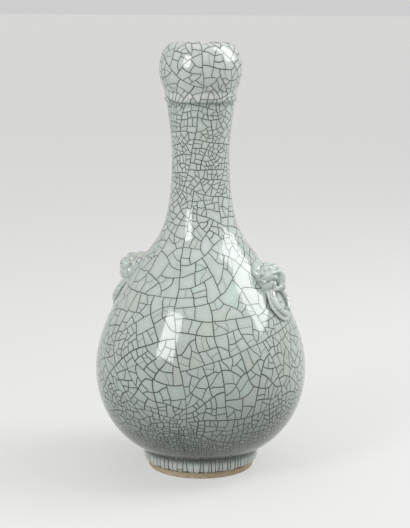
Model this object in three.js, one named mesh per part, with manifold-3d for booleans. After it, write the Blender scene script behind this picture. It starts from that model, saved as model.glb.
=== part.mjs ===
// A glazed garlic-mouth bottle vase, with two animal masks on its shoulder that hold mock rings.
// Millimetres, +Z up. The vase stands on Z = 0 and its axis is the Z axis.
// It is built as a potter builds it: a turned foot, two body sections, a neck and a mouth, luted
// together in stepped lap joints, and masks and rings moulded apart and luted to the shoulder.
import * as THREE from 'three';
import { mergeVertices } from 'three/addons/utils/BufferGeometryUtils.js';
import Module from 'manifold-3d';

// Heights, each from the top of what is below it
const footHeight = 20;
const bellyRise = 75;
const shoulderRise = 105;
const waistRise = 99;
const neckTopRise = 48;
const ridgeHeight = 9;
const ridgeShoulder = 3;
const bulbRise = 21.5;
const lipRise = 22.5;
const neckSeamAboveShoulder = 26;

// Radii
const footJointRadius = 55;
const bellyRadius = 99.5;
const shoulderRadius = 54.5;
const waistRadius = 26.8;
const neckTopRadius = 31.7;
const ridgeRadius = 33;
const bulbRadius = 38.2;
const lipTopRadius = 26.5;
const mouthRadius = 22.5;

// How the outline leans, in degrees from the horizontal
const undersideLean = 15;
const shoulderLean = 60;
const neckTopLean = 80;
const bulbBaseLean = 68;

// How far each curve holds its direction, as a share of the rise that it spans
const undersideHold = 0.16;
const bellyHoldBelow = 0.64;
const bellyHoldAbove = 0.43;
const shoulderHoldBelow = 0.24;
const shoulderHoldAbove = 0.21;
const waistHoldBelow = 0.79;
const waistHoldAbove = 0.31;
const neckTopHold = 0.33;
const bulbHold = 0.45;
const lipHold = 0.51;
const lipFlatHold = 0.2;

// Walls and joints
const wall = 5.5;
const slipGap = 0.3;
const lapHeight = 4;

// Foot
const footBoreRadius = 43;
const footRimRadius = 50;
const footRimHeight = 6.5;
const footRimFlare = 2.2;
const footEdgeRounding = 1.2;
const footBandRadius = 53.8;
const glazeRollHeight = 3.2;
const footWaistRadius = 53;
const footLedge = 1;
const bossDepth = 3.5;
const floorThickness = 8.5;

// Masks: how far the nose tip stands out of the shoulder, and the head's depth, half width and height
const noseProud = 13.4;
const maskDepth = 28;
const maskHalfWidth = 13.5;
const maskHeight = 28;
const chinDrop = 26.5;

// The rings were stuck on by hand, so each sits a little up or down the shoulder
const rightRingSlide = 0.5;
const leftRingSlide = -2.5;

// Rings, leaning on the shoulder with their tops in the masks' mouths
const ringRadius = 13.4;
const ringSection = 3.2;
const ringTopAboveChin = 2.5;
const ringTopProud = 4.5;
const ringFootProud = 3.4;

// Facets
const turnFacets = 48;
const outlineFacet = 10;
const liningFacet = 24;
const bulbFacet = 5;
const bulbLiningFacet = 9;
const roundingSteps = 4;
const ringFacets = 24;
const ringSectionFacets = 8;
const lumpFacets = 12;
const lumpRows = 7;

const bellyHeight = footHeight + bellyRise;
const shoulderHeight = bellyHeight + shoulderRise;
const neckSeamHeight = shoulderHeight + neckSeamAboveShoulder;
const waistHeight = shoulderHeight + waistRise;
const neckTopHeight = waistHeight + neckTopRise;
const ridgeTopHeight = neckTopHeight + ridgeHeight;
const bulbHeight = ridgeTopHeight + bulbRise;
const rimHeight = bulbHeight + lipRise;

const celadon = new THREE.MeshStandardMaterial({ color: 0xb7c9bf, roughness: 0.18, metalness: 0 });
const biscuit = new THREE.MeshStandardMaterial({ color: 0x9a7d62, roughness: 0.8, metalness: 0 });

function at(radius, height) {
  return new THREE.Vector2(radius, height);
}

// The point that lies some way from another, at an angle from the horizontal
function towards(start, degrees, length) {
  const angle = THREE.MathUtils.degToRad(degrees);
  return at(start.x + length * Math.cos(angle), start.y + length * Math.sin(angle));
}

// The body and neck as one running outline, from the foot joint to the foot of the mouth
function bodyCurves() {
  const footJoint = at(footJointRadius, footHeight);
  const belly = at(bellyRadius, bellyHeight);
  const shoulder = at(shoulderRadius, shoulderHeight);
  const waist = at(waistRadius, waistHeight);
  const neckTop = at(neckTopRadius, neckTopHeight);
  return [
    new THREE.CubicBezierCurve(
      footJoint,
      towards(footJoint, undersideLean, undersideHold * bellyRise),
      towards(belly, -90, bellyHoldBelow * bellyRise),
      belly,
    ),
    new THREE.CubicBezierCurve(
      belly,
      towards(belly, 90, bellyHoldAbove * shoulderRise),
      towards(shoulder, -shoulderLean, shoulderHoldBelow * shoulderRise),
      shoulder,
    ),
    new THREE.CubicBezierCurve(
      shoulder,
      towards(shoulder, 180 - shoulderLean, shoulderHoldAbove * waistRise),
      towards(waist, -90, waistHoldBelow * waistRise),
      waist,
    ),
    new THREE.CubicBezierCurve(
      waist,
      towards(waist, 90, waistHoldAbove * neckTopRise),
      towards(neckTop, neckTopLean - 180, neckTopHold * neckTopRise),
      neckTop,
    ),
  ];
}

// The bulb of the mouth, from the top of the ridge to the level top of the lip
function bulbCurves() {
  const base = at(ridgeRadius, ridgeTopHeight);
  const widest = at(bulbRadius, bulbHeight);
  const lipTop = at(lipTopRadius, rimHeight);
  return [
    new THREE.CubicBezierCurve(
      base,
      towards(base, bulbBaseLean, bulbHold * bulbRise),
      towards(widest, -90, bulbHold * bulbRise),
      widest,
    ),
    new THREE.CubicBezierCurve(
      widest,
      towards(widest, 90, lipHold * lipRise),
      towards(lipTop, 0, lipFlatHold * lipRise),
      lipTop,
    ),
  ];
}

// Points along curves that follow on from each other, moved inwards by an inset
function trace(curves, facet, inset) {
  const line = [];
  curves.forEach((curve, index) => {
    const steps = Math.ceil(curve.getLength() / facet);
    for (let step = index === 0 ? 0 : 1; step <= steps; step += 1) {
      const place = curve.getPointAt(step / steps);
      const along = curve.getTangentAt(step / steps);
      line.push(at(place.x - along.y * inset, place.y + along.x * inset));
    }
  });
  return line;
}

// The radius of a rising line at a height
function radiusAt(line, height) {
  const above = line.findIndex((place) => place.y >= height);
  const next = above === -1 ? line.length - 1 : Math.max(above, 1);
  const low = line[next - 1];
  const high = line[next];
  return low.x + ((high.x - low.x) * (height - low.y)) / (high.y - low.y);
}

// The part of a rising line between two heights, with its ends cut level
function between(line, low, high) {
  const inside = line.filter((place) => place.y > low + slipGap && place.y < high - slipGap);
  return [at(radiusAt(line, low), low), ...inside, at(radiusAt(line, high), high)];
}

const outline = trace(bodyCurves(), outlineFacet, 0);
const lining = trace(bodyCurves(), liningFacet, wall);

// A quarter turn that leaves its first point level and reaches its last one upright
function quarter(start, end) {
  const turns = [];
  for (let step = 0; step <= roundingSteps; step += 1) {
    const angle = (Math.PI / 2) * (step / roundingSteps);
    const out = (end.x - start.x) * Math.sin(angle);
    const rise = (end.y - start.y) * (1 - Math.cos(angle));
    turns.push(at(start.x + out, start.y + rise));
  }
  return turns;
}

// A soft step from one radius to another, upright at both ends
function swell(start, end) {
  const lift = (end.y - start.y) / 2;
  const curve = new THREE.CubicBezierCurve(
    start, towards(start, 90, lift), towards(end, -90, lift), end,
  );
  return curve.getPoints(roundingSteps);
}

// A solid of revolution whose closed profile is given upwards on the outside
function turned(profile, onAxis) {
  const closed = onAxis ? profile : [...profile, profile[0].clone()];
  const geometry = new THREE.LatheGeometry(closed, turnFacets);
  geometry.rotateX(Math.PI / 2);
  return geometry;
}

// The middle of the wall at a seam, where the lap steps
function lapRadius(seam) {
  return (radiusAt(outline, seam) + radiusAt(lining, seam)) / 2;
}

// The top of a section: a spigot on the inner half of its wall, from the outside to the inside
function spigot(seam) {
  const step = lapRadius(seam) - slipGap / 2;
  return [at(step, seam), at(step, seam + lapHeight)];
}

// The bottom of a section: a socket in the outer half of its wall, from the inside to the outside
function socket(seam) {
  const step = lapRadius(seam) + slipGap / 2;
  return [at(step, seam + lapHeight), at(step, seam)];
}

function footRing() {
  const rimTop = footRimRadius + footRimFlare;
  const rollTop = footRimHeight + glazeRollHeight;
  const ledgeHeight = footHeight - footLedge;
  return turned([
    at(footBoreRadius, footHeight),
    at(footBoreRadius, footEdgeRounding),
    at(footBoreRadius + footEdgeRounding, 0),
    ...quarter(at(footRimRadius - footEdgeRounding, 0), at(footRimRadius, footEdgeRounding)),
    ...quarter(at(rimTop, footRimHeight), at(footBandRadius, rollTop)),
    at(footWaistRadius, ledgeHeight),
    at(footJointRadius, footHeight - footLedge / 2),
    at(footJointRadius, footHeight),
  ], false);
}

function lowerBody() {
  const bossRadius = footBoreRadius - slipGap;
  const bossBottom = footHeight - bossDepth;
  const floorHeight = bossBottom + floorThickness;
  const liningFoot = lining[0];
  return turned([
    at(0, bossBottom),
    at(bossRadius, bossBottom),
    at(bossRadius, footHeight),
    ...between(outline, footHeight, bellyHeight),
    ...spigot(bellyHeight),
    ...between(lining, liningFoot.y, bellyHeight + lapHeight).reverse(),
    at(0, floorHeight),
  ], true);
}

function section(low, high) {
  return turned([
    ...socket(low),
    ...between(outline, low, high),
    ...spigot(high),
    ...between(lining, low + lapHeight, high + lapHeight).reverse(),
  ], false);
}

function garlicMouth() {
  const ridgeEdge = at(ridgeRadius, neckTopHeight + ridgeShoulder);
  const lipInside = at(mouthRadius, rimHeight - (lipTopRadius - mouthRadius));
  const liningStart = neckTopHeight + lapHeight;
  return turned([
    ...socket(neckTopHeight),
    at(neckTopRadius, neckTopHeight),
    ...swell(at(neckTopRadius, neckTopHeight + slipGap), ridgeEdge),
    ...trace(bulbCurves(), bulbFacet, 0),
    ...quarter(at(lipTopRadius, rimHeight), lipInside).slice(1),
    ...trace(bulbCurves(), bulbLiningFacet, wall).reverse(),
    at(radiusAt(lining, liningStart), liningStart),
  ], false);
}

const wasm = await Module();
wasm.setup();

// A solid that can be joined and cut, from a closed geometry
function solidOf(geometry) {
  const bare = geometry.clone();
  bare.deleteAttribute('normal');
  bare.deleteAttribute('uv');
  const merged = mergeVertices(bare, 1e-4);
  return new wasm.Manifold(new wasm.Mesh({
    numProp: 3,
    vertProperties: new Float32Array(merged.attributes.position.array),
    triVerts: new Uint32Array(merged.index.array),
  }));
}

function geometryOf(solid) {
  const mesh = solid.getMesh();
  const geometry = new THREE.BufferGeometry();
  geometry.setAttribute('position', new THREE.BufferAttribute(mesh.vertProperties, 3));
  geometry.setIndex(new THREE.BufferAttribute(mesh.triVerts, 1));
  geometry.computeVertexNormals();
  return geometry;
}

// The outside of the shoulder, grown by the slip gap, which beds a handle on it
function shoulderCutter() {
  const growth = slipGap / Math.sin(THREE.MathUtils.degToRad(shoulderLean));
  const grown = outline.map((place) => at(place.x + growth, place.y));
  const skin = between(grown, bellyHeight, waistHeight);
  return solidOf(turned([at(0, bellyHeight), ...skin, at(0, waistHeight)], true));
}

const chinHeight = shoulderHeight - chinDrop;
const noseReach = radiusAt(outline, chinHeight) + noseProud;

// A point that stands out of the shoulder at a height
function outOfShoulder(height, proud) {
  return at(radiusAt(outline, height) + proud, height);
}

// A ring in the mask's mouth, moved up the shoulder by a slide
function ringSolid(sectionRadius, slide) {
  const leanOfShoulder = THREE.MathUtils.degToRad(shoulderLean);
  const topHeight = chinHeight + ringTopAboveChin;
  const lowHeight = topHeight - 2 * ringRadius * Math.sin(leanOfShoulder);
  const top = outOfShoulder(topHeight, ringTopProud);
  const along = outOfShoulder(lowHeight, ringFootProud).sub(top);
  const ringLean = THREE.MathUtils.radToDeg(Math.atan2(-along.y, along.x));
  const middle = towards(towards(top, -ringLean, ringRadius), 180 - shoulderLean, slide);
  const geometry = new THREE.TorusGeometry(
    ringRadius, sectionRadius, ringSectionFacets, ringFacets,
  );
  geometry.rotateY(THREE.MathUtils.degToRad(ringLean));
  return solidOf(geometry.translate(middle.x, 0, middle.y));
}

// The lumps of a mask. Places and sizes are shares of its depth, half width and height:
// behind the nose tip, away from the middle, above the chin, and half sizes the same three ways.
const maskLumps = {
  skull: { behind: 0.62, aside: 0, above: 0.46, size: [0.46, 0.89, 0.43] },
  crest: { behind: 0.81, aside: 0, above: 0.86, size: [0.17, 0.41, 0.14] },
  curl: { behind: 0.53, aside: 0, above: 0.78, size: [0.18, 0.48, 0.15] },
  noseRoot: { behind: 0.22, aside: 0, above: 0.6, size: [0.16, 0.39, 0.14] },
  nose: { behind: 0.16, aside: 0, above: 0.34, size: [0.16, 0.33, 0.36] },
  eye: { behind: 0.46, aside: 0.59, above: 0.64, size: [0.17, 0.33, 0.16] },
  lip: { behind: 0.26, aside: 0.46, above: 0.23, size: [0.2, 0.36, 0.18] },
  jowl: { behind: 0.56, aside: 0.74, above: 0.27, size: [0.22, 0.31, 0.25] },
  ear: { behind: 0.78, aside: 0.78, above: 0.7, size: [0.16, 0.24, 0.19] },
};

function lumpSolid(lump, side) {
  const [depth, breadth, tallness] = lump.size;
  const geometry = new THREE.SphereGeometry(1, lumpFacets, lumpRows);
  geometry.rotateX(Math.PI / 2);
  geometry.scale(depth * maskDepth, breadth * maskHalfWidth, tallness * maskHeight);
  return solidOf(geometry.translate(
    noseReach - lump.behind * maskDepth,
    side * lump.aside * maskHalfWidth,
    chinHeight + lump.above * maskHeight,
  ));
}

function maskSolid() {
  const lumps = Object.values(maskLumps).flatMap((lump) => (
    (lump.aside === 0 ? [0] : [1, -1]).map((side) => lumpSolid(lump, side))
  ));
  return lumps.reduce((joined, lump) => joined.add(lump));
}

function named(name, geometry, material) {
  const mesh = new THREE.Mesh(geometry, material);
  mesh.name = name;
  return mesh;
}

// A handle: a mask and its ring, both bedded on the shoulder, turned about the vase's axis
function handle(side, turn, ringSlide) {
  const cutter = shoulderCutter();
  const groove = ringSolid(ringSection + slipGap, ringSlide);
  const mask = maskSolid().subtract(cutter).subtract(groove);
  const ring = ringSolid(ringSection, ringSlide).subtract(cutter);
  const group = new THREE.Group();
  group.rotation.z = turn;
  group.add(named(`${side}_mask`, geometryOf(mask), celadon));
  group.add(named(`${side}_ring`, geometryOf(ring), celadon));
  return group;
}

const vase = new THREE.Group();
vase.add(
  named('foot_ring', footRing(), biscuit),
  named('lower_body', lowerBody(), celadon),
  named('upper_body', section(bellyHeight, neckSeamHeight), celadon),
  named('neck', section(neckSeamHeight, neckTopHeight), celadon),
  named('garlic_mouth', garlicMouth(), celadon),
  handle('right', 0, rightRingSlide),
  handle('left', Math.PI, leftRingSlide),
);

export default vase;
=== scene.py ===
# Garlic-mouth bottle vase: crackled celadon glaze, a biscuit foot rim, and mask-and-ring handles
import math
import random
from bisect import bisect_right
import bmesh
import bpy
from mathutils import Matrix, Vector, noise
from mathutils.geometry import delaunay_2d_cdt, interpolate_bezier


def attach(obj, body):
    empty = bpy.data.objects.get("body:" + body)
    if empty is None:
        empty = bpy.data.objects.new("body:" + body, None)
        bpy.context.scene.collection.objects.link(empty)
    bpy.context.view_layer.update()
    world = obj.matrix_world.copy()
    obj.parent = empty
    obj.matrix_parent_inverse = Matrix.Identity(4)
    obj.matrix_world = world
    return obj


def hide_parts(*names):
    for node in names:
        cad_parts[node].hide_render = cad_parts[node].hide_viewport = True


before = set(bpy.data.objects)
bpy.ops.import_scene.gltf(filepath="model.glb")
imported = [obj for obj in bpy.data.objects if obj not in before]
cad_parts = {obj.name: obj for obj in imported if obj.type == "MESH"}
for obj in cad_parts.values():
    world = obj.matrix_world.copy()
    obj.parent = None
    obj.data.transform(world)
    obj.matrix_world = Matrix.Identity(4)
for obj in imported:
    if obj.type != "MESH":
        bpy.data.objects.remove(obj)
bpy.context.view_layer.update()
mm = 0.001
vaseHeight = 400
noiseSeed = 5
noise.seed_set(noiseSeed)
print("frame loaded")


# Camera at the photo's angle: the right handle is turned a little towards it
cameraSet = {
    "distance": 1.319,
    "height": 0.4414,
    "pitch": 10.62,
    "turn": 24.0,
    "lens": 97.4,
    "sensor": 36.0,
    "shiftX": 0.0081,
}


def towardsCamera(swing):
    # a level direction, so many degrees to the right of the camera as seen from the vase
    angle = math.radians(cameraSet["turn"] + swing)
    return Vector((math.sin(angle), -math.cos(angle), 0))


def clearSelection():
    bpy.ops.object.select_all(action="DESELECT")


def makeCamera():
    clearSelection()
    place = towardsCamera(0) * cameraSet["distance"]
    place.z = cameraSet["height"]
    tilt = math.pi / 2 - math.radians(cameraSet["pitch"])
    bpy.ops.object.camera_add(location=place, rotation=(tilt, 0, math.radians(cameraSet["turn"])))
    camera = bpy.context.object
    camera.name = "photoCamera"
    camera.data.sensor_fit = "VERTICAL"
    camera.data.sensor_height = cameraSet["sensor"]
    camera.data.lens = cameraSet["lens"]
    camera.data.shift_x = cameraSet["shiftX"]
    bpy.context.scene.camera = camera


makeCamera()
bpy.context.scene.view_settings.view_transform = "Standard"
print("camera placed")


# Node helpers, for a material or the world
def link(owner, source, target):
    owner.node_tree.links.new(source, target)


def setInputs(node, **values):
    for name, value in values.items():
        node.inputs[name.replace("_", " ")].default_value = value


def addNode(owner, kind, **settings):
    node = owner.node_tree.nodes.new("ShaderNode" + kind)
    for key, value in settings.items():
        if hasattr(node, key):
            setattr(node, key, value)
        else:
            setInputs(node, **{key: value})
    return node


def newMaterial(name):
    material = bpy.data.materials.new(name)
    material.use_nodes = True
    material.node_tree.nodes.clear()
    shader = addNode(material, "BsdfPrincipled")
    link(material, shader.outputs[0], addNode(material, "OutputMaterial").inputs["Surface"])
    return material, shader


def ramp(material, factor, stops):
    node = addNode(material, "ValToRGB")
    elements = node.color_ramp.elements
    while len(elements) < len(stops):
        elements.new(0.5)
    for element, (position, color) in zip(elements, stops):
        element.position = position
        element.color = color
    link(material, factor, node.inputs["Fac"])
    return node.outputs["Color"]


def shareRamp(material, factor, stops):
    # shares from 0 to 1 in place of colours
    return ramp(material, factor, [(place, (share, share, share, 1)) for place, share in stops])


def mathNode(owner, kind, first, second):
    node = addNode(owner, "Math", operation=kind)
    for socket, value in zip(node.inputs, (first, second)):
        if isinstance(value, (int, float)):
            socket.default_value = value
        else:
            link(owner, value, socket)
    return node.outputs[0]


def mixColor(material, factor, under, over):
    # a fixed colour over another one
    node = addNode(material, "Mix", data_type="RGBA")
    link(material, factor, node.inputs[0])
    link(material, under, node.inputs[6])
    node.inputs[7].default_value = over
    return node.outputs[2]


def objectPlace(material):
    return addNode(material, "TexCoord").outputs["Object"]


def attribute(material, name):
    return addNode(material, "Attribute", attribute_name=name).outputs["Fac"]


def noiseIn(material, scale, detail, place=None, **settings):
    node = addNode(material, "TexNoise", Scale=scale, Detail=detail, **settings)
    link(material, place or objectPlace(material), node.inputs["Vector"])
    return node.outputs


def heightShare(material, whole):
    # the height above the ground as a share of a whole, in mm
    parts = addNode(material, "SeparateXYZ")
    link(material, objectPlace(material), parts.inputs[0])
    return mathNode(material, "DIVIDE", parts.outputs["Z"], whole * mm)


def srgb(red, green, blue):
    # a colour as read off a screen, 0 to 255, as Blender wants it
    parts = [value / 255 for value in (red, green, blue)]
    linear = [part / 12.92 if part <= 0.04045 else ((part + 0.055) / 1.055) ** 2.4 for part in parts]
    return (*linear, 1.0)


# Celadon glaze, with the stain that has soaked into its cracks
glazeSet = {
    "mint": srgb(198, 214, 208),
    "mid": srgb(198, 209, 202),
    "beige": srgb(201, 205, 196),
    # painted shade: the belly made darker towards the bottom, as if less light reached it from below
    "low": srgb(104, 114, 107),
    "shade": srgb(42, 49, 45),
    # pale colour: thin glaze on the lip and on moulded ridges, and also a painted highlight on the foot
    # band's roll and on the ridge band below the mouth
    "thinGlazeAndHighlight": srgb(214, 218, 212),
    # darker green of glaze pooled in hollows, also used for painted shade under the ridge below the
    # mouth
    "pooledGlazeAndShade": srgb(122, 141, 133),
    "beside": srgb(160, 170, 162),
    "stain": srgb(54, 64, 58),
    "stainPale": srgb(84, 92, 83),
    "roughness": 0.07,
    "refraction": 1.5,
    "coat": 0.35,
    "coatRoughness": 0.03,
    "waveSize": 26.0,
    "waveHeight": 0.9,
    "pitSize": 0.9,
    "pitHeight": 0.012,
    "cloudScale": 60.0,
    "cloudShare": 0.5,
    "soaked": 0.3,
    "stainScale": 45.0,
    "stainRoughness": 0.12,
}


def glazeBump(material, shader, strength):
    # slow waves of the thick glaze and fine pin holes
    waves = noiseIn(material, 1 / (glazeSet["waveSize"] * mm), 1.0)["Fac"]
    pits = noiseIn(material, 1 / (glazeSet["pitSize"] * mm), 2.0)["Fac"]
    high = mathNode(material, "MULTIPLY", waves, glazeSet["waveHeight"])
    fine = mathNode(material, "MULTIPLY", pits, glazeSet["pitHeight"])
    bump = addNode(material, "Bump", Strength=strength, Distance=mm)
    link(material, mathNode(material, "ADD", high, fine), bump.inputs["Height"])
    link(material, bump.outputs["Normal"], shader.inputs["Normal"])


def finishGlaze(material, shader, color, roughness):
    link(material, color, shader.inputs["Base Color"])
    setInputs(
        shader, Roughness=roughness, IOR=glazeSet["refraction"], Coat_Weight=glazeSet["coat"],
        Coat_Roughness=glazeSet["coatRoughness"])


# How far the glaze's colour turns at each height in mm: painted shade darkening the belly towards the
# bottom and in the groove above the foot, a painted highlight on the foot band's roll, paler up the
# shoulder, neck and mouth, pooled glaze with painted shade under the mouth's ridge and a painted
# highlight on the ridge band, and pale thin glaze at the lip
glazeByHeight = [
    # painted shade, darker towards the bottom of the belly
    ("low", ((19.8, 0), (20.2, 0.85), (50, 0.66), (90, 0.26), (130, 0.12), (180, 0))),
    ("shade", ((13, 0), (17.4, 0.8), (18.9, 0.95), (19.3, 0.1), (19.7, 0.1), (20, 1), (25, 0.9),
               (32, 0.5), (42, 0.2), (58, 0))),
    # painted highlight along the foot band's lower roll
    ("thinGlazeAndHighlight", ((7, 1), (12, 0.8), (16, 0))),
    # paler up the shoulder, neck and mouth, a painted highlight on the ridge band below the mouth, and
    # thin glaze at the lip
    ("thinGlazeAndHighlight", ((205, 0), (240, 0.55), (318, 0.5), (335, 0.1), (349, 0.1), (351, 0.9), (355, 0.8),
              (358, 0.5), (385, 0.55), (398, 0.85))),
    # pooled glaze with painted shade under the ridge below the mouth
    ("pooledGlazeAndShade", ((341, 0), (346, 0.6), (347.6, 0.6), (348.6, 0))),
]


def makeSkinGlaze():
    material, shader = newMaterial("skinGlaze")
    cloud = noiseIn(material, glazeSet["cloudScale"], 4.0)["Fac"]
    cloud = mathNode(material, "MULTIPLY", cloud, glazeSet["cloudShare"])
    mottled = mathNode(material, "ADD", attribute(material, "cellTone"), cloud)
    color = ramp(material, mottled, (
        (0.25, glazeSet["mint"]), (0.6, glazeSet["mid"]), (1.0, glazeSet["beige"])))
    share = heightShare(material, vaseHeight)
    # painted shade and highlights by height over the cell tones, and pale thin glaze at the lip
    for name, stops in glazeByHeight:
        amount = shareRamp(material, share, [(height / vaseHeight, part) for height, part in stops])
        color = mixColor(material, amount, color, glazeSet[name])
    soaked = mathNode(material, "MULTIPLY", attribute(material, "besideCrack"), glazeSet["soaked"])
    color = mixColor(material, soaked, color, glazeSet["beside"])
    finishGlaze(material, shader, color, glazeSet["roughness"])
    glazeBump(material, shader, 1.0)
    return material


def makeStain():
    material, shader = newMaterial("crackStain")
    patches = noiseIn(material, glazeSet["stainScale"], 3.0)["Fac"]
    color = ramp(material, patches, ((0.35, glazeSet["stain"]), (0.7, glazeSet["stainPale"])))
    finishGlaze(material, shader, color, glazeSet["stainRoughness"])
    return material


# Glaze on moulded and inner surfaces: its cracks are drawn by the material, and it is thin and pale
# on ridges, and deeper in hollows. The ramps go by height over the surroundings and by distance
# from a crack.
mouldedSet = {
    "cells": {"Scale": 74.0, "Randomness": 0.85},
    "bendScale": 90.0,
    "bend": 0.006,
    "thinGlazeAndHighlight": ((0.15, 0), (0.8, 0.75)),
    "pooledGlazeAndShade": ((0.1, 0), (0.75, 0.9)),
    "stainPale": ((0.008, 0.8), (0.018, 0)),
}


def makeMouldedGlaze():
    material, shader = newMaterial("mouldedGlaze")
    shift = addNode(material, "VectorMath", operation="MULTIPLY_ADD")
    link(material, noiseIn(material, mouldedSet["bendScale"], 2.0)["Color"], shift.inputs[0])
    shift.inputs[1].default_value = (mouldedSet["bend"],) * 3
    link(material, objectPlace(material), shift.inputs[2])
    cells = addNode(material, "TexVoronoi", **mouldedSet["cells"])
    edges = addNode(material, "TexVoronoi", feature="DISTANCE_TO_EDGE", **mouldedSet["cells"])
    for node in (cells, edges):
        link(material, shift.outputs[0], node.inputs["Vector"])
    color = ramp(material, cells.outputs["Color"], (
        (0.1, glazeSet["mint"]), (0.7, glazeSet["mid"]), (1.0, glazeSet["beige"])))
    ridge = attribute(material, "ridge")
    hollow = mathNode(material, "MULTIPLY", ridge, -1.0)
    line = edges.outputs["Distance"]
    for factor, name in ((ridge, "thinGlazeAndHighlight"), (hollow, "pooledGlazeAndShade"), (line, "stainPale")):
        amount = shareRamp(material, factor, mouldedSet[name])
        color = mixColor(material, amount, color, glazeSet[name])
    finishGlaze(material, shader, color, glazeSet["roughness"])
    glazeBump(material, shader, 0.8)
    return material


# Bare clay, drawn out in streaks by the wheel, with painted shadow of the glaze's overhanging roll along
# its top, from 5.7 mm up
biscuitSet = {
    "base": srgb(214, 197, 168),
    "dark": srgb(180, 158, 125),
    # painted shadow of the glaze's overhanging roll, on the clay just below it
    "edge": srgb(78, 58, 40),
    "rollShadowSpan": 10,
    "rollShadowStops": ((0.57, 0), (0.64, 0.9)),
    "roughness": 0.85,
    "grainScale": 180.0,
    "streaks": (1.0, 1.0, 6.0),
    "grainDepth": 0.3,
}


def makeBiscuit():
    material, shader = newMaterial("biscuitClay")
    streaks = addNode(material, "Mapping", Scale=biscuitSet["streaks"])
    link(material, objectPlace(material), streaks.inputs["Vector"])
    grain = noiseIn(material, biscuitSet["grainScale"], 6.0, streaks.outputs[0], Roughness=0.65)
    color = ramp(material, grain["Fac"], ((0.35, biscuitSet["dark"]), (0.6, biscuitSet["base"])))
    # painted shadow of the glaze's roll along the rim's top
    share = heightShare(material, biscuitSet["rollShadowSpan"])
    edge = shareRamp(material, share, biscuitSet["rollShadowStops"])
    color = mixColor(material, edge, color, biscuitSet["edge"])
    link(material, color, shader.inputs["Base Color"])
    setInputs(shader, Roughness=biscuitSet["roughness"])
    bump = addNode(material, "Bump", Strength=0.6, Distance=biscuitSet["grainDepth"] * mm)
    link(material, grain["Fac"], bump.inputs["Height"])
    link(material, bump.outputs["Normal"], shader.inputs["Normal"])
    return material


skinGlaze = makeSkinGlaze()
crackStain = makeStain()
mouldedGlaze = makeMouldedGlaze()
biscuitClay = makeBiscuit()
print("materials made")


# The outline, in mm, from the foot joint up to the lip and a little way down inside the mouth.
# Each knot has its radius and height, the way the outline heads there, in degrees, and its handles'
# lengths. At a corner it leaves another way than it arrives.
vaseKnots = [
    {"at": (55, 20), "heading": 15, "after": 12},
    {"at": (99.5, 95), "heading": 90, "before": 48, "after": 45.15},
    {"at": (54.5, 200), "heading": 120, "before": 25.2, "after": 20.8},
    {"at": (26.8, 299), "heading": 90, "before": 78.2, "after": 14.9},
    {"at": (31.1, 346), "heading": 86, "before": 15.8, "leaves": 15, "after": 1},
    {"at": (33.5, 349), "heading": 92, "before": 1.8, "after": 1.8},
    {"at": (33.1, 355.5), "heading": 86, "before": 1.5, "leaves": 68, "after": 9.7},
    {"at": (38.2, 377.5), "heading": 90, "before": 9.7, "after": 11.5},
    {"at": (26.5, 400), "heading": 180, "before": 4.5, "after": 2.2},
    {"at": (22.5, 396), "heading": 270, "before": 2.2, "after": 5},
    {"at": (31.5, 378), "heading": 270, "before": 9},
]


def heading(degrees):
    angle = math.radians(degrees)
    return Vector((math.cos(angle), math.sin(angle)))


def followKnots(knots):
    # points about a millimetre apart along the knots' curves
    line = []
    for low, high in zip(knots, knots[1:]):
        start, end = Vector(low["at"]), Vector(high["at"])
        leave = start + heading(low.get("leaves", low["heading"])) * low["after"]
        arrive = end - heading(high["heading"]) * high["before"]
        steps = max(5, round((end - start).length))
        line += interpolate_bezier(start, leave, arrive, end, steps)[1 if line else 0:]
    return [Vector((point[0], point[1])) for point in line]


def radiusAt(line, height):
    index = min(max(bisect_right([spot[1] for spot in line], height), 1), len(line) - 1)
    (low, lowHeight), (high, highHeight) = line[index - 1], line[index]
    return low + (high - low) * (height - lowHeight) / (highHeight - lowHeight)


# A crackled skin is drawn flat first: across is the angle round the vase, and up is a climb that
# keeps shapes true, so a flat length times the radius is the real length
def makeSkinMap(knots):
    line = followKnots(knots)
    climb = [0.0]
    for low, high in zip(line, line[1:]):
        climb.append(climb[-1] + (high - low).length * 2 / (low.x + high.x))
    return {"line": line, "climb": climb, "top": climb[-1]}


def onSkin(skinMap, up):
    # radius, height and the way the outline heads at a climb
    climb, line = skinMap["climb"], skinMap["line"]
    index = min(max(bisect_right(climb, up) - 1, 0), len(line) - 2)
    share = (up - climb[index]) / (climb[index + 1] - climb[index])
    place = line[index].lerp(line[index + 1], share)
    low = line[min(index + 1, len(line) - 1)] - line[max(index - 1, 0)]
    high = line[min(index + 2, len(line) - 1)] - line[index]
    return place, low.lerp(high, min(max(share, 0), 1)).normalized()


def fromTable(table, height):
    # a value read between the rows of a table of heights
    heights = sorted(table)
    if height <= heights[0] or height >= heights[-1]:
        return table[heights[0 if height <= heights[0] else -1]]
    index = bisect_right(heights, height)
    low, high = heights[index - 1], heights[index]
    share = (height - low) / (high - low)
    return table[low] * (1 - share) + table[high] * share


tiny = 1e-6
# Inside a cell, rows of points rise by this share of the step, and keep this share off its sides
rowRise, clearance = 0.87, 0.42
# Near its ends, within this climb, a drawing is bent less and less
calmEnds = 0.4
# Where each kind of face lies, from bottom to top, in the layout that materials are baked to
bakeStrips = {
    "glaze": (0.005, 0.86), "wall": (0.87, 0.91), "base": (0.92, 0.94), "joint": (0.95, 0.96),
    "cracks": (0.97, 0.995),
}


def rolledUp(x, y):
    # a place on the drawing, rolled up so that noise is the same on both sides of the seam
    return Vector((math.cos(x), math.sin(x), y))


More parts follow.
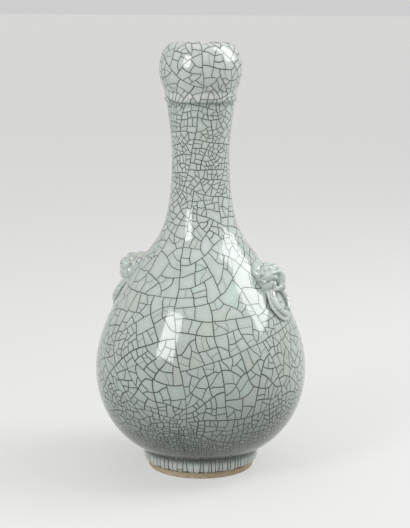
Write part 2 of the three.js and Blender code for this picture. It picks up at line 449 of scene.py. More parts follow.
# How cracks cut a cell: the best of some tries, each from one side to about the opposite one.
# Cracks in large cells are older and wider than others, and a last few are as thin as hairs. Tips
# that turn back further than a cosine and sides that shrink below a share are dropped.
crackSet = {
    "tries": 22,
    "leastRound": 0.012,
    "luck": (0.85, 1),
    "opposite": (0.36, 0.64),
    "bow": 0.36,
    "oldFrom": 4.2,
    "youngFrom": 1.9,
    "widthSpread": (0.85, 1.15),
    "hairShare": 0.4,
    "hairLoose": 0.5,
    "patches": 2.3,
    "sharpest": -0.8,
    "shortest": 0.2,
    "tone": 0.3,
    "toneDrift": 0.5,
    "toneSpread": (-0.15, 0.15),
}


# Each cell is a list of corners (across, up, width of the crack that starts there), in
# anticlockwise order
def sides(corners):
    return zip(corners, corners[1:] + corners[:1])


def sideLengths(cell):
    return [math.dist(start[:2], end[:2]) for start, end in sides(cell)]


def roundness(cell):
    # how compact a cell is, from a circle's 0.08 and a square's 0.06 down to a splinter's 0
    return areaOf(cell) / sum(sideLengths(cell)) ** 2


def areaOf(cell):
    total = 0
    for (x, y, _), (nextX, nextY, _) in sides(cell):
        total += x * nextY - nextX * y
    return total / 2


def middleOf(cell):
    return Vector((sum(c[0] for c in cell) / len(cell), sum(c[1] for c in cell) / len(cell)))


def placeRound(cell, lengths, share):
    # a share of the way round a cell: the corner before it, the place, and the way inwards
    left = share % 1 * sum(lengths)
    index = 0
    while left > lengths[index] and index < len(cell) - 1:
        left -= lengths[index]
        index += 1
    (x, y, _), (nextX, nextY, _) = cell[index], cell[(index + 1) % len(cell)]
    along = Vector((nextX - x, nextY - y)).normalized()
    return index, Vector((x, y)) + along * left, Vector((-along.y, along.x))


def halvesAlong(cell, first, last, crack, width):
    # the two parts of a cell on either side of a crack from one of its sides to another
    turned = cell[first + 1:] + cell[:first + 1]
    split = (last - first) % len(cell)
    line = [(point.x, point.y, width) for point in crack]
    leftSide = [(*line[0][:2], cell[first][2])] + turned[:split] + line[:0:-1]
    rightSide = [(*line[-1][:2], cell[last][2])] + turned[split:] + line[:-1]
    return [leftSide, rightSide]


def crackAcross(cell, loose, upright, width, step, dice):
    # a crack leaves one side squarely and meets another squarely: the best of a few such curves
    lengths = sideLengths(cell)
    best, bestScore = [], crackSet["leastRound"]
    for _ in range(crackSet["tries"]):
        share = dice.random()
        first, start, leave = placeRound(cell, lengths, share)
        last, end, arrive = placeRound(cell, lengths, share + dice.uniform(*crackSet["opposite"]))
        if first == last:
            continue
        leave.rotate(Matrix.Rotation(dice.uniform(-loose, loose), 2))
        span = (end - start).length
        steps = max(2, math.ceil(span / step))
        leaving = start + leave * span * crackSet["bow"]
        arriving = end + arrive * span * crackSet["bow"]
        crack = interpolate_bezier(start, leaving, arriving, end, steps + 1)
        crack = [Vector(point[:2]) for point in crack]
        middle = crack[steps // 2]
        if (middle - start).dot(leave) <= 0 or (middle - end).dot(arrive) <= 0:
            continue
        halves = halvesAlong(cell, first, last, crack, width)
        way = (end - start) / span
        score = min(roundness(half) for half in halves) * dice.uniform(*crackSet["luck"])
        score *= 1 - upright * abs(2 * way.x * way.y)
        if score > bestScore:
            best, bestScore = halves, score
    return best


def crackCells(skinMap, crackle, dice):
    # cracks cut the glaze again and again, each stopping at the older ones
    widths, top = crackle["widths"], skinMap["top"]
    whole = [(0, 0, 0), (2 * math.pi, 0, widths[0]), (2 * math.pi, top, 0), (0, top, widths[0])]
    waiting, cells = [whole], []
    while waiting:
        cell = waiting.pop()
        middle = middleOf(cell)
        place, _ = onSkin(skinMap, middle.y)
        size, facet, loose, upright, wide = (
            fromTable(crackle[name], place.y)
            for name in ("sizes", "facets", "loose", "upright", "wide"))
        patch = noise.noise(rolledUp(*middle) * crackSet["patches"])
        real = math.sqrt(areaOf(cell)) * place.x / (size * math.exp(crackle["patchy"] * patch))
        step, halves = facet / place.x, []
        if real > dice.uniform(*crackle["spread"]):
            age = 0 if real > crackSet["oldFrom"] else 1 if real > crackSet["youngFrom"] else 2
            width = widths[age] * (wide * dice.uniform(*crackSet["widthSpread"]))
            halves = crackAcross(cell, loose, upright, width, step, dice)
            waiting += halves
        elif real * size > crackle["hairFrom"] and dice.random() < crackSet["hairShare"]:
            halves = crackAcross(cell, crackSet["hairLoose"], 0, widths[3], step, dice)
            cells += halves
        cells += [] if halves else [cell]
    return cells


def uprightCells(skinMap, crackle, dice):
    # on a narrow band the cracks run straight up and down, and few cross it
    bottomRadius, top = skinMap["line"][0].x, skinMap["top"]
    across = [0]
    while across[-1] < 2 * math.pi - 1.5 * crackle["spacing"][1] / bottomRadius:
        across.append(across[-1] + dice.uniform(*crackle["spacing"]) / bottomRadius)
    lean = crackle["lean"] / bottomRadius
    feet = [(x, dice.uniform(-lean, lean), dice.choice(crackle["widths"])) for x in across[1:]]
    feet = [(0, 0, crackle["widths"][0])] + feet + [(2 * math.pi, 0, crackle["widths"][0])]
    cells, thinnest = [], crackle["widths"][-1]
    for (left, leftLean, leftWidth), (right, rightLean, rightWidth) in zip(feet, feet[1:]):
        crossed = dice.random() < crackle["crossed"]
        levels = [0, top * dice.uniform(0.3, 0.7), top] if crossed else [0, top]
        for low, high in zip(levels, levels[1:]):
            cells.append([
                (left + leftLean * low / top, low, thinnest if low > 0 else 0),
                (right + rightLean * low / top, low, rightWidth),
                (right + rightLean * high / top, high, thinnest if high < top else 0),
                (left + leftLean * high / top, high, leftWidth)])
    return cells


def pushedIn(cell, radius):
    # each corner, moved in by half the widths of the two cracks that meet there
    inside = []
    for index, (x, y, width) in enumerate(cell):
        beforeX, beforeY, beforeWidth = cell[index - 1]
        nextX, nextY, _ = cell[(index + 1) % len(cell)]
        inward = Vector((beforeY - y, x - beforeX)).normalized()
        nextInward = Vector((y - nextY, nextX - x)).normalized()
        turn = inward.cross(nextInward)
        low, high = beforeWidth / 2 / radius, width / 2 / radius
        if abs(turn) > 0.3:
            push = Vector((
                low * nextInward.y - high * inward.y, high * inward.x - low * nextInward.x)) / turn
        else:
            push = (inward * low + nextInward * high) / 2
        push.length = min(push.length, 3 * max(low, high))
        inside.append(Vector((x, y)) + push)
    return inside


def insideCracks(cell, radius, top):
    # the cell without half of each crack round it, without sides too short to outlast that, and
    # with its sharpest tips cut off
    while len(cell) > 2:
        inside = pushedIn(cell, radius)
        kept = []
        for index, corner in enumerate(cell):
            following = (index + 1) % len(cell)
            arriving = Vector(corner[:2]) - Vector(cell[index - 1][:2])
            leaving = Vector(cell[following][:2]) - Vector(corner[:2])
            left = (inside[following] - inside[index]).dot(leaving)
            turn = arriving.normalized().dot(leaving.normalized())
            if left > crackSet["shortest"] * leaving.length_squared and turn > crackSet["sharpest"]:
                kept.append(corner)
        if len(kept) == len(cell):
            return [Vector((x, min(max(y, 0), top))) for x, y in inside]
        cell = kept
    return []


def dottedRing(corners, step):
    # the corners with points between them, no more than a step apart
    ring = []
    for start, end in sides(corners):
        if (end - start).length < tiny:
            continue
        parts = max(1, math.ceil((end - start).length / step))
        ring += [start.lerp(end, part / parts) for part in range(parts)]
    return ring


def dotsInside(corners, step):
    # points well inside a cell, to give it a mesh of even triangles
    left, right = min(c.x for c in corners), max(c.x for c in corners)
    low, high = min(c.y for c in corners), max(c.y for c in corners)
    edges = []
    for start, end in sides(corners):
        along = end - start
        if along.length > tiny:
            edges.append((start, Vector((-along.y, along.x)).normalized()))
    dots = []
    for row in range(int((high - low) / (step * rowRise)) + 1):
        y = low + (row + 0.5) * step * rowRise
        x = left + (0.25 if row % 2 else 0.75) * step
        while x < right:
            dot = Vector((x, y))
            if all((dot - start).dot(inward) > step * clearance for start, inward in edges):
                dots.append(dot)
            x += step
    return dots or [sum(corners, Vector((0, 0))) / len(corners)]


def bent(skinMap, crackle, point):
    # cracks curve: the flat drawing is pushed about a little, the same on both sides of its seam
    x, y = point
    spot = rolledUp(x, y)
    calm = min(1, y / calmEnds, (skinMap["top"] - y) / calmEnds)
    for reach, spacing, offset in crackle["bends"]:
        push = noise.noise_vector(spot / spacing + Vector((offset, 0, 0)))
        x += push.x * reach
        y += push.y * reach * max(calm, 0)
    return x, min(max(y, 0), skinMap["top"])


def layOutCells(skinMap, crackle, dice):
    # flat points, for each its cell and whether it is at a crack, and the cells' rings and tones
    flat, owner, rings, tones = [], [], [], []
    drawCells = uprightCells if "spacing" in crackle else crackCells
    for cell in drawCells(skinMap, crackle, dice):
        middle = middleOf(cell)
        radius = onSkin(skinMap, middle.y)[0].x
        corners = insideCracks(cell, radius, skinMap["top"])
        if len(corners) < 3:
            continue
        ups = (middle.y, min(c.y for c in corners), max(c.y for c in corners))
        step = min(fromTable(crackle["facets"], onSkin(skinMap, up)[0].y) for up in ups) / radius
        ring = dottedRing(corners, step)
        if len(ring) < 3:
            continue
        dots = dotsInside(corners, step * 1.25)
        owner += [(len(rings), True)] * len(ring) + [(len(rings), False)] * len(dots)
        rings.append(list(range(len(flat), len(flat) + len(ring))))
        flat += ring + dots
        tone = crackSet["tone"] + crackSet["toneDrift"] * noise.noise(rolledUp(*middle) * 3)
        tones.append(tone + dice.uniform(*crackSet["toneSpread"]))
    return flat, owner, rings, tones


def triangulated(flat, owner, rings, top):
    # one mesh of the cells and the cracks, with the same points up both sides of the coming seam
    parts = math.ceil(top * 12)
    for across in (0, 2 * math.pi):
        flat += [Vector((across, top * part / parts)) for part in range(parts + 1)]
        owner += [(-1, True)] * (parts + 1)
    last = len(flat) - 1
    border = [(last - 2 * parts - 1, last - parts), (last - parts - 1, last)]
    points, _, faces, fromPoints, _, fromRings = delaunay_2d_cdt(flat, border, rings, 0, 1e-7, True)
    tall = [max(points[i].y for i in face) - min(points[i].y for i in face) >= tiny for face in faces]
    faces = [face for face, kept in zip(faces, tall) if kept]
    inRings = [owners for owners, kept in zip(fromRings, tall) if kept]
    owner = [owner[owners[0]] if owners else (-1, True) for owners in fromPoints]
    return points, owner, faces, inRings


def onForm(skinMap, crackle, point, atCrack):
    # where a flat point lies on the turned form, and the way the skin faces there
    x, y = bent(skinMap, crackle, point)
    (radius, height), way = onSkin(skinMap, y)
    roll = math.sin(math.pi * min(1, y / skinMap["top"] / 0.5))
    wave = noise.noise(rolledUp(x, 0) * 9 + Vector((0, 0, 4)))
    height += crackle["scallop"] * roll * (wave - 0.3)
    out = rolledUp(x + math.pi / 2, 0)
    normal = (out * way.y - Vector((0, 0, way.x))).normalized()
    lift = 0 if atCrack else crackle["pillow"]
    place = (out * radius + Vector((0, 0, height)) + normal * lift) * mm
    return place, Vector((0, 0, 0)) if crackle["pillow"] else normal


def noteCells(mesh, owner, inRings, tones):
    # which faces are glaze and which are crack, and each cell's tone
    tone = mesh.attributes.new("cellTone", "FLOAT", "FACE")
    for polygon, around in zip(mesh.polygons, inRings):
        cells = {owner[index][0] for index in polygon.vertices}
        inCell = len(cells) == 1 and min(cells) in around
        polygon.material_index = 0 if inCell else 1
        polygon.use_smooth = True
        tone.data[polygon.index].value = tones[min(cells)] if inCell else 0


def notePoints(mesh, owner, normals):
    beside = mesh.attributes.new("besideCrack", "FLOAT", "POINT")
    facing = mesh.attributes.new("skinNormal", "FLOAT_VECTOR", "POINT")
    for index, (_, atCrack) in enumerate(owner):
        beside.data[index].value = 1.0 if atCrack else 0.0
        facing.data[index].vector = normals[index]


def layFlat(mesh, points, top):
    # the drawing itself is the bake's layout, with the cracks in a strip of their own
    bake = mesh.uv_layers.new(name="OFBake")
    for polygon in mesh.polygons:
        low, high = bakeStrips["glaze" if polygon.material_index == 0 else "cracks"]
        for corner in polygon.loop_indices:
            x, y = points[mesh.loops[corner].vertex_index]
            bake.data[corner].uv = (x / (2 * math.pi), low + (high - low) * y / top)


def makeCrackledSkin(name, knots, crackle):
    skinMap = makeSkinMap(knots)
    flat, owner, rings, tones = layOutCells(skinMap, crackle, random.Random(crackle["seed"]))
    points, owner, faces, inRings = triangulated(flat, owner, rings, skinMap["top"])
    spots = [
        onForm(skinMap, crackle, point, atCrack) for point, (_, atCrack) in zip(points, owner)]
    mesh = bpy.data.meshes.new(name)
    mesh.from_pydata([place for place, _ in spots], [], faces)
    skin = bpy.data.objects.new(name, mesh)
    bpy.context.collection.objects.link(skin)
    mesh.materials.append(skinGlaze)
    mesh.materials.append(crackStain)
    noteCells(mesh, owner, inRings, tones)
    notePoints(mesh, owner, [normal for _, normal in spots])
    layFlat(mesh, points, skinMap["top"])
    edit(skin)
    bpy.ops.mesh.remove_doubles(threshold=tiny)
    leaveEdit()
    print(name, len(rings), "cells,", len(mesh.polygons), "faces")
    return skin


# Modelling helpers
def only(piece):
    clearSelection()
    piece.select_set(True)
    bpy.context.view_layer.objects.active = piece


def edit(piece):
    only(piece)
    bpy.ops.object.mode_set(mode="EDIT")
    bpy.ops.mesh.select_all(action="SELECT")


def leaveEdit():
    bpy.ops.object.mode_set(mode="OBJECT")


def copyOf(piece, name):
    only(piece)
    bpy.ops.object.duplicate()
    duplicate = bpy.context.object
    duplicate.name = name
    return duplicate


def keepBetween(piece, low, high):
    # cuts a skin level at both heights, in mm
    edit(piece)
    for height, inner, outer in ((low, True, False), (high, False, True)):
        bpy.ops.mesh.select_all(action="SELECT")
        bpy.ops.mesh.bisect(
            plane_co=(0, 0, height * mm), plane_no=(0, 0, 1), threshold=1e-8,
            clear_inner=inner, clear_outer=outer)
    leaveEdit()


def layInStrip(piece, strip, onlySelected=False):
    # turned faces in the bake's layout: the angle across, and radius plus height up a strip
    shape = bmesh.new()
    shape.from_mesh(piece.data)
    layer = shape.loops.layers.uv.get("OFBake") or shape.loops.layers.uv.new("OFBake")
    faces = [face for face in shape.faces if face.select or not onlySelected]
    rise = {vertex: vertex.co.xy.length + vertex.co.z for face in faces for vertex in face.verts}
    low, high = min(rise.values()), max(rise.values())
    start, end = bakeStrips[strip]
    for face in faces:
        middle = face.calc_center_median()
        facing = math.atan2(middle.y, middle.x)
        for loop in face.loops:
            spot = loop.vert.co
            angle = math.atan2(spot.y, spot.x) if spot.xy.length > tiny else facing
            angle += round((facing - angle) / (2 * math.pi)) * 2 * math.pi
            share = (rise[loop.vert] - low) / (high - low)
            loop[layer].uv = (0.5 + angle / (2 * math.pi), start + (end - start) * share)
    shape.to_mesh(piece.data)
    shape.free()


def turnedWall(name, profile, strip=None):
    # a circle drawn out ring by ring along a profile of (radius, height), in mm
    clearSelection()
    radius, height = profile[0]
    bpy.ops.mesh.primitive_circle_add(
        vertices=turnedFacets, radius=radius * mm, location=(0, 0, height * mm))
    wall = bpy.context.object
    wall.name = name
    bpy.ops.object.transform_apply()
    edit(wall)
    for nextRadius, nextHeight in profile[1:]:
        rise = (0, 0, (nextHeight - height) * mm)
        bpy.ops.mesh.extrude_region_move(TRANSFORM_OT_translate={"value": rise})
        if nextRadius == 0:
            bpy.ops.mesh.merge(type="CENTER")
        else:
            grow = nextRadius / radius
            bpy.ops.transform.resize(
                value=(grow, grow, 1), center_override=(0, 0, nextHeight * mm))
        radius, height = nextRadius, nextHeight
    leaveEdit()
    wall.data.materials.append(mouldedGlaze)
    if strip:
        layInStrip(wall, strip)
    return wall


def joined(name, pieces):
    only(pieces[0])
    for piece in pieces:
        piece.select_set(True)
    bpy.ops.object.join()
    pieces[0].name = name
    return pieces[0]


def closeAt(piece, height):
    # fills between the two open rims near a height, in mm
    edit(piece)
    bpy.ops.mesh.select_mode(type="EDGE")
    bpy.ops.mesh.select_all(action="DESELECT")
    shape = bmesh.from_edit_mesh(piece.data)
    for rimEdge in shape.edges:
        off = max(abs(corner.co.z - height * mm) for corner in rimEdge.verts)
        if rimEdge.is_boundary and off < rimReach * mm:
            rimEdge.select = True
    bmesh.update_edit_mesh(piece.data)
    bpy.ops.mesh.fill(use_beauty=False)
    leaveEdit()
    if "OFBake" in piece.data.uv_layers:
        layInStrip(piece, "joint", onlySelected=True)
    edit(piece)
    bpy.ops.mesh.normals_make_consistent(inside=False)
    leaveEdit()


def placed(piece, node=None):
    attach(piece, "root")
    if node:
        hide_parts(node)


def finishSkin(piece, node):
    # it shades as the true outline does, so no seam shows where two sections meet
    mesh = piece.data
    for polygon in mesh.polygons:
        polygon.use_smooth = True
    facing = mesh.attributes["skinNormal"].data
    mesh.normals_split_custom_set_from_vertices([item.vector for item in facing])
    placed(piece, node)


# The body's glaze, in mm, and by height where a value has a table: the mesh's step, the cells'
# sizes and their spread, how far cracks stray, how much they keep upright or level, and how wide
# they are. Each bend pushes the drawing about: how far, how long a wave, and where it starts.
bodyCrackle = {
    "seed": 11,
    "facets": {215: 3.2, 235: 2.3, 342: 2.0, 346: 0.9, 358: 0.9, 362: 2.0},
    "sizes": {
        20: 3.9, 35: 4.7, 50: 5.7, 65: 6.7, 80: 7.7, 95: 8.9, 120: 11.6, 160: 14.0, 195: 15.5, 215: 12.5,
        235: 8.5, 255: 7.0, 275: 6.0, 305: 5.8, 325: 6.8, 345: 8.2, 375: 10.4, 400: 9.5,
    },
    "spread": (0.75, 1.3),
    "patchy": 0.4,
    "loose": {20: 0.06, 50: 0.1, 80: 0.15},
    "upright": {20: 0.6, 45: 0.4, 65: 0.15, 80: 0},
    "wide": {20: 1.5, 60: 1.38, 110: 1.12, 200: 1.0, 240: 0.85, 330: 0.85, 400: 0.95},
    "widths": (0.85, 0.82, 0.74, 0.35),
    "hairFrom": 8.5,
    "bends": ((0.11, 0.9, 3.1), (0.03, 0.38, 5.3), (0.012, 0.15, 9.7)),
    "scallop": 0,
    "pillow": 0,
}
# Walls, in mm: an open edge closes at the seam that is within its reach
wallThickness = 5.5
turnedFacets = 96
rimReach = 0.3
seams = {"foot": 20, "belly": 95, "neck": 226, "mouth": 347, "lip": 377.8}
floorProfile = [(55, 26.5), (40, 25), (0, 25)]
baseProfile = [(54.5, 20), (42.7, 20), (42.7, 16.5), (0, 16.5)]
mouthProfile = [(31.2, 377.6), (29, 363), (27.4, 356), (26.2, 347)]


def liningBetween(low, high):
    # the inside of the wall from one height down to another, in steps
    line = followKnots(vaseKnots[:5])
    rows = []
    for before, point, after in zip(line, line[1:], line[2:]):
        way = (after - before).normalized()
        rows.append((point.x - way.y * wallThickness, point.y + way.x * wallThickness))
    steps = max(2, round((high - low) / 8))
    heights = [high + (low - high) * step / steps for step in range(steps + 1)]
    return [(radiusAt(rows, height), height) for height in heights]


def makeSection(name, low, high, walls, rims):
    # the skin between two heights, joined to the walls behind it and closed at its rims
    skin = copyOf(bodySkin, name + "_skin")
    keepBetween(skin, low, high)
    section = joined(name + "_glazed", [skin] + walls)
    for rim in rims:
        closeAt(section, seams[rim])
    finishSkin(section, name)


bodySkin = makeCrackledSkin("bodySkin", vaseKnots, bodyCrackle)
bowl = turnedWall("bowl", liningBetween(30, seams["belly"]) + floorProfile, "wall")
base = turnedWall("base", baseProfile, "base")
makeSection("lower_body", 0, seams["belly"], [bowl, base], ("belly", "foot"))
upperLining = turnedWall("upperLining", liningBetween(seams["belly"], seams["neck"]), "wall")
makeSection("upper_body", seams["belly"], seams["neck"], [upperLining], ("belly", "neck"))
neckLining = turnedWall("neckLining", liningBetween(seams["neck"], seams["mouth"] - 0.01), "wall")
makeSection("neck", seams["neck"], seams["mouth"], [neckLining], ("neck", "mouth"))
mouthLining = turnedWall("mouthLining", mouthProfile, "wall")
makeSection("garlic_mouth", seams["mouth"], vaseHeight + 10, [mouthLining], ("mouth", "lip"))
bpy.data.objects.remove(bodySkin)
print("body made")


# The foot: a glazed band whose roll hangs in scallops over a bare, turned rim
footKnots = [
    {"at": (50.6, 7.1), "heading": -8, "after": 1.6},
    {"at": (54.0, 10), "heading": 84, "before": 2.4, "after": 3},
    {"at": (54.0, 17.6), "heading": 100, "before": 2.4, "after": 0.4},
    {"at": (54.0, 18.7), "heading": 70, "before": 0.4, "after": 0.4},
    {"at": (55, 20), "heading": 60, "before": 0.6},
]
footCrackle = {
    "seed": 5,
    "facets": {20: 1.6},
    "spacing": (2.8, 5.6),
    "lean": 1.5,
    "crossed": 0.15,
    "widths": (1.15, 0.9, 0.65),
    "bends": ((0.008, 0.1, 1.3), (0.003, 0.03, 7.7)),
    "scallop": 1.3,
    "pillow": 0.4,
}
rimSet = {
    "inside": 44.6,
    "outside": 50.0,
    "flare": 1.7,
    "top": 7.0,
    "turningMarks": 9,
    "markDepth": 0.09,
    "smoothUpTo": 40,
}

boreProfile = [
    (54.5, 20), (43, 20), (43, 3.4), (43.3, 2.8), (44, 2.6), (44.4, 2.8), (44.4, 7.1), (50.1, 7.1),
]
footBore = turnedWall("footBore", boreProfile, "wall")
band = joined("foot_band_glazed", [makeCrackledSkin("footBand", footKnots, footCrackle), footBore])
closeAt(band, seams["foot"])
closeAt(band, footKnots[0]["at"][1])
finishSkin(band, "foot_ring")


def rimProfile():
    inside, outside, flare, top = (rimSet[name] for name in ("inside", "outside", "flare", "top"))
    profile = [(inside, top), (inside, 1), (inside + 0.3, 0.3), (inside + 1, 0)]
    profile += [(outside - 1.2, 0), (outside - 0.5, 0.25), (outside - 0.1, 0.8)]
    marks = rimSet["turningMarks"] * 2
    for step in range(marks + 1):
        height = 1.2 + (top - 1.6) * step / marks
        bulge = flare * (height / top) ** 2
        profile.append((outside + bulge - (step % 2) * rimSet["markDepth"], height))
    return profile + [(outside + flare, top - 0.2), (outside + flare - 0.4, top), (inside + 0.5, top)]


rim = turnedWall("foot_rim_biscuit", rimProfile())
closeAt(rim, rimSet["top"])
rim.data.materials[0] = biscuitClay
only(rim)
bpy.ops.object.shade_smooth_by_angle(angle=math.radians(rimSet["smoothUpTo"]))
placed(rim)
print("foot made")


# Rings, in mm and degrees: how far out and how high each one's middle is, and their shape. A ring is
# rolled clay, a little uneven, with a pool of glaze inside it and a skirt round it, each flattened
# and sunk into the shoulder.
ringSet = {
    "right": (79.8, 166.6),
    "left": (81.35, 164.0),
    "radius": 13.0,
    "section": 3.2,
    "lean": 61.5,
    "skirt": 5.4,
    "skirtFlat": 0.42,
    "skirtSunk": 2.2,
    "skirtDrop": 1.3,
    "poolFlat": 0.22,
    "poolSunk": 2.6,
    "unevenness": 0.35,
    "unevenSpan": 9,
    "voxel": 0.5,
    "softening": 4,
    "ridgeReach": 0.35,
    "ridgePasses": 16,
    "bedDepth": 0.6,
}
shoulderLine = followKnots(vaseKnots[1:3])


def finishWith(piece, kind, **settings):
    only(piece)
    modifier = piece.modifiers.new(kind.lower(), kind)
    for key, value in settings.items():
        setattr(modifier, key, value)
    bpy.ops.object.modifier_apply(modifier=modifier.name)


def remeshed(piece, values):
    finishWith(piece, "REMESH", mode="VOXEL", voxel_size=values["voxel"] * mm)


def softened(piece, values):
    finishWith(piece, "SMOOTH", iterations=values["softening"])


def noteRidges(piece, values):
    # how far each point stands out of its surroundings, as a share of a reach in mm
    shape = bmesh.new()
    shape.from_mesh(piece.data)
    spots = [vertex.co.copy() for vertex in shape.verts]
    beside = [[edge.other_vert(vertex).index for edge in vertex.link_edges] for vertex in shape.verts]
    for _ in range(values["ridgePasses"]):
        spots = [sum((spots[index] for index in near), Vector()) / len(near) for near in beside]
    ridge = piece.data.attributes.new("ridge", "FLOAT", "POINT")
    reach = values["ridgeReach"] * mm
    for vertex, spot in zip(shape.verts, spots):
        ridge.data[vertex.index].value = (vertex.co - spot).dot(vertex.normal) / reach
    shape.free()


def bedOnShoulder(piece, values):
    # nothing reaches deeper into the wall than the bed
    deepest = {}
    for vertex in piece.data.vertices:
        key = round(vertex.co.z / mm * 2)
        if key not in deepest:
            deepest[key] = (radiusAt(shoulderLine, vertex.co.z / mm) - values["bedDepth"]) * mm
        radius = math.hypot(vertex.co.x, vertex.co.y)
        if radius < deepest[key]:
            vertex.co.x *= deepest[key] / radius
            vertex.co.y *= deepest[key] / radius


def glazedOver(piece, values):
    noteRidges(piece, values)
    bedOnShoulder(piece, values)
    only(piece)
    bpy.ops.object.shade_smooth()
    piece.data.materials.clear()
    piece.data.materials.append(mouldedGlaze)


def ringPlace(side, sunk=0, drop=0):
    # the ring's middle and lean, so many mm down into the wall and along it
    reach, height = ringSet[side]
    lean = math.radians(ringSet["lean"])
    sunk, drop = sunk * mm, drop * mm
    x = reach * mm - math.sin(lean) * sunk + math.cos(lean) * drop
    z = height * mm - math.cos(lean) * sunk - math.sin(lean) * drop
    return {"location": (x, 0, z), "rotation": (0, lean, 0)}


def addRoll(thickness, place):
    clearSelection()
    bpy.ops.mesh.primitive_torus_add(
        major_radius=ringSet["radius"] * mm, minor_radius=thickness * mm,
        major_segments=96, minor_segments=24, **place)
    return bpy.context.object


def makeRing(side):
    roll = addRoll(ringSet["section"], ringPlace(side))
    skirt = addRoll(ringSet["skirt"], ringPlace(side, ringSet["skirtSunk"], ringSet["skirtDrop"]))
    skirt.scale.z = ringSet["skirtFlat"]
    clearSelection()
    bpy.ops.mesh.primitive_uv_sphere_add(
        segments=48, ring_count=16, radius=ringSet["radius"] * mm, scale=(1, 1, ringSet["poolFlat"]),
        **ringPlace(side, ringSet["poolSunk"]))
    pool = bpy.context.object
    ring = joined(side + "_ring_glazed", [roll, skirt, pool])
    bpy.ops.object.transform_apply()
    remeshed(ring, ringSet)
    softened(ring, ringSet)
    for vertex in ring.data.vertices:
        push = noise.noise_vector(vertex.co / (ringSet["unevenSpan"] * mm))
        vertex.co += push * ringSet["unevenness"] * mm
    glazedOver(ring, ringSet)
    return ring


# Masks: lumps of clay pressed together. Each lump: how far behind the nose tip, how far aside and
# how far above the chin its middle is, its half sizes the same three ways, and its pitch, in mm
# and degrees
maskSet = {
    "noseReach": 85.6,
    "chinHeight": 174.7,
    "voxel": 0.5,
    "softening": 10,
    "ridgeReach": 0.9,
    "ridgePasses": 24,
    "bedDepth": 1.5,
}
maskLumps = [
    ((17.8, 0, 13), (12.3, 12.2, 12.6), 0),     # skull
    ((23.6, 0, 14.5), (7, 14.2, 14), -28),      # mane, spread on the shoulder
    ((22.5, 0, 23.5), (4.6, 6, 3.4), 20),       # crest
    ((14.5, 0, 21.6), (6.2, 5.4, 3.6), -14),    # forehead
    ((16.6, 6.4, 21.0), (6.0, 4.2, 3.2), -14),  # swept-back curls
    ((13.6, 9.7, 15.2), (5.4, 4.3, 4.8), 10),   # temples
    ((7.0, 0, 17.0), (4.2, 3.0, 3.4), -25),     # nose bridge
    ((4.9, 0, 11.5), (4.5, 2.4, 8.4), 4),       # nose ridge
    ((4.5, 0, 4.6), (4.4, 3.9, 4.4), 0),        # nose tip
    ((5.2, 4.0, 4.6), (3.0, 2.2, 2.6), 0),      # nostril wings
    ((8.8, 4.6, 18.3), (4.2, 3.8, 2.0), -20),   # brows
    ((11.2, 8.6, 18.0), (4.2, 3.4, 2.0), -10),
    ((9.4, 6.2, 14.0), (3.2, 3.0, 2.7), 0),     # eyeballs
    ((10.8, 7.6, 8.0), (4.6, 4.2, 3.6), 0),     # cheeks
    ((8.2, 5.8, 3.6), (4.4, 3.8, 3.0), 0),      # upper lips
    ((15.7, 9.6, 8.0), (7.0, 4.4, 7.0), -15),   # jowls
    ((21.0, 10.9, 15), (5.0, 3.2, 5.4), 10),    # ears
    ((20, 10.4, 1.8), (4.2, 3.0, 4.4), -25),    # beard tufts
    ((14.6, 9.4, 0.6), (3.8, 2.8, 4.2), -25),
]
maskHollows = [
    ((1.4, 2.5, 2.6), (1.6, 1.1, 1.2), 0),      # nostrils
    ((6.5, 6.4, 14.0), (1.0, 0.9, 0.9), 0),     # pupils
    ((8.4, 2.9, 14.6), (2.6, 0.8, 1.6), 0),     # inner corners of the eyes
    ((8.6, 6.6, 16.9), (2.6, 3.4, 0.5), -8),    # under the brows
    ((8.6, 6.8, 11.1), (2.6, 3.4, 0.6), 8),     # under the eyes
    ((18.4, 13.6, 15), (1.8, 1.4, 2.4), 10),    # ear cups
    ((6.2, 5.2, 8.8), (2.7, 1.9, 4.0), 10),     # beside the nose
    ((7.0, 5.4, 0.4), (2.6, 2.2, 1.5), 0),      # corners of the mouth
    ((9.0, 8.6, 5.8), (3.0, 3.2, 0.5), 0),      # between the cheeks and the lips
]


def addLumps(name, lumps):
    parts = []
    for (behind, aside, above), (depth, breadth, tallness), pitch in lumps:
        for side in (1, -1) if aside else (1,):
            x = maskSet["noseReach"] - behind
            z = maskSet["chinHeight"] + above
            clearSelection()
            bpy.ops.mesh.primitive_uv_sphere_add(
                segments=24, ring_count=16, radius=mm, scale=(depth, breadth, tallness),
                rotation=(0, math.radians(pitch), 0), location=(x * mm, side * aside * mm, z * mm))
            parts.append(bpy.context.object)
    whole = joined(name, parts)
    bpy.ops.object.transform_apply()
    return whole


def makeMask():
    mask = addLumps("mask", maskLumps)
    remeshed(mask, maskSet)
    hollows = addLumps("hollows", maskHollows)
    finishWith(mask, "BOOLEAN", operation="DIFFERENCE", object=hollows, use_self=True)
    bpy.data.objects.remove(hollows)
    remeshed(mask, maskSet)
    softened(mask, maskSet)
    glazedOver(mask, maskSet)
    return mask


mask = makeMask()
for side, turn in (("right", 0), ("left", math.pi)):
    ring = makeRing(side)
    sideMask = copyOf(mask, side + "_mask_glazed")
    for piece, kind in ((ring, "_ring"), (sideMask, "_mask")):
        piece.data.transform(Matrix.Rotation(turn, 4, "Z"))
        placed(piece, side + kind)
bpy.data.objects.remove(mask)
print("handles made")


# Floor and light
stageSet = {
    "size": 60.0,
    "floor": srgb(166, 166, 165),
    "roughness": 0.9,
    "seen": srgb(188, 188, 187),
    "lift": 0.83,
    "far": (0.62, 0.62, 0.62, 1.0),
    "fill": 0.59,
    "lampDistance": 1.5,
}


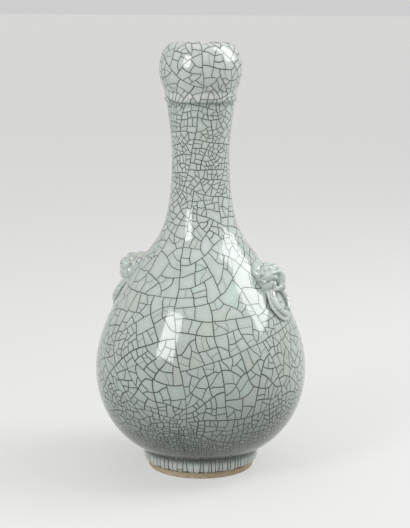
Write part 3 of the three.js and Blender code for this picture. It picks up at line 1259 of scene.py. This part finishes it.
def seenDirectly(owner):
    # 1 for what the camera, a reflection or clear glass sees
    paths = addNode(owner, "LightPath").outputs
    beyond = mathNode(owner, "MAXIMUM", paths["Is Glossy Ray"], paths["Is Transmission Ray"])
    return mathNode(owner, "MAXIMUM", paths["Is Camera Ray"], beyond)


def makeFloor():
    clearSelection()
    bpy.ops.mesh.primitive_plane_add(size=stageSet["size"])
    floor = bpy.context.object
    floor.name = "floor"
    material, shader = newMaterial("paleFloor")
    setInputs(
        shader, Base_Color=stageSet["floor"], Roughness=stageSet["roughness"],
        Emission_Color=stageSet["seen"])
    lift = mathNode(material, "MULTIPLY", seenDirectly(material), stageSet["lift"])
    link(material, lift, shader.inputs["Emission Strength"])
    floor.data.materials.append(material)


def makeWorld():
    world = bpy.data.worlds.new("studio")
    bpy.context.scene.world = world
    world.use_nodes = True
    world.node_tree.nodes.clear()
    light = addNode(world, "Background", Color=(1, 1, 1, 1), Strength=stageSet["fill"])
    backdrop = addNode(world, "Background", Color=stageSet["far"])
    mix = addNode(world, "MixShader")
    for index, source in enumerate((seenDirectly(world), light.outputs[0], backdrop.outputs[0])):
        link(world, source, mix.inputs[index])
    link(world, mix.outputs[0], addNode(world, "OutputWorld").inputs["Surface"])


# Soft boxes: swing and rise in degrees as seen from the vase, sizes in metres
softBoxes = [
    {"name": "keyBox", "swing": -40, "rise": 27, "size": (0.5, 0.82), "power": 8.3},
    {"name": "sideBox", "swing": 96, "rise": 38, "size": (0.95, 0.9), "power": 12.3},
    {"name": "topBox", "swing": 74, "rise": 60, "size": (0.3, 0.3), "power": 1.6},
]


def makeSoftBox(box):
    clearSelection()
    aim = Vector((0, 0, vaseHeight / 2 * mm))
    rise = math.radians(box["rise"])
    out = towardsCamera(box["swing"]) * math.cos(rise) + Vector((0, 0, math.sin(rise)))
    bpy.ops.object.light_add(type="AREA", location=aim + out * stageSet["lampDistance"])
    lamp = bpy.context.object
    lamp.name = box["name"]
    lamp.rotation_euler = out.to_track_quat("Z", "Y").to_euler()
    lamp.data.shape = "RECTANGLE"
    lamp.data.size, lamp.data.size_y = box["size"]
    lamp.data.energy = box["power"]


makeFloor()
makeWorld()
for box in softBoxes:
    makeSoftBox(box)
print("floor and lights made")
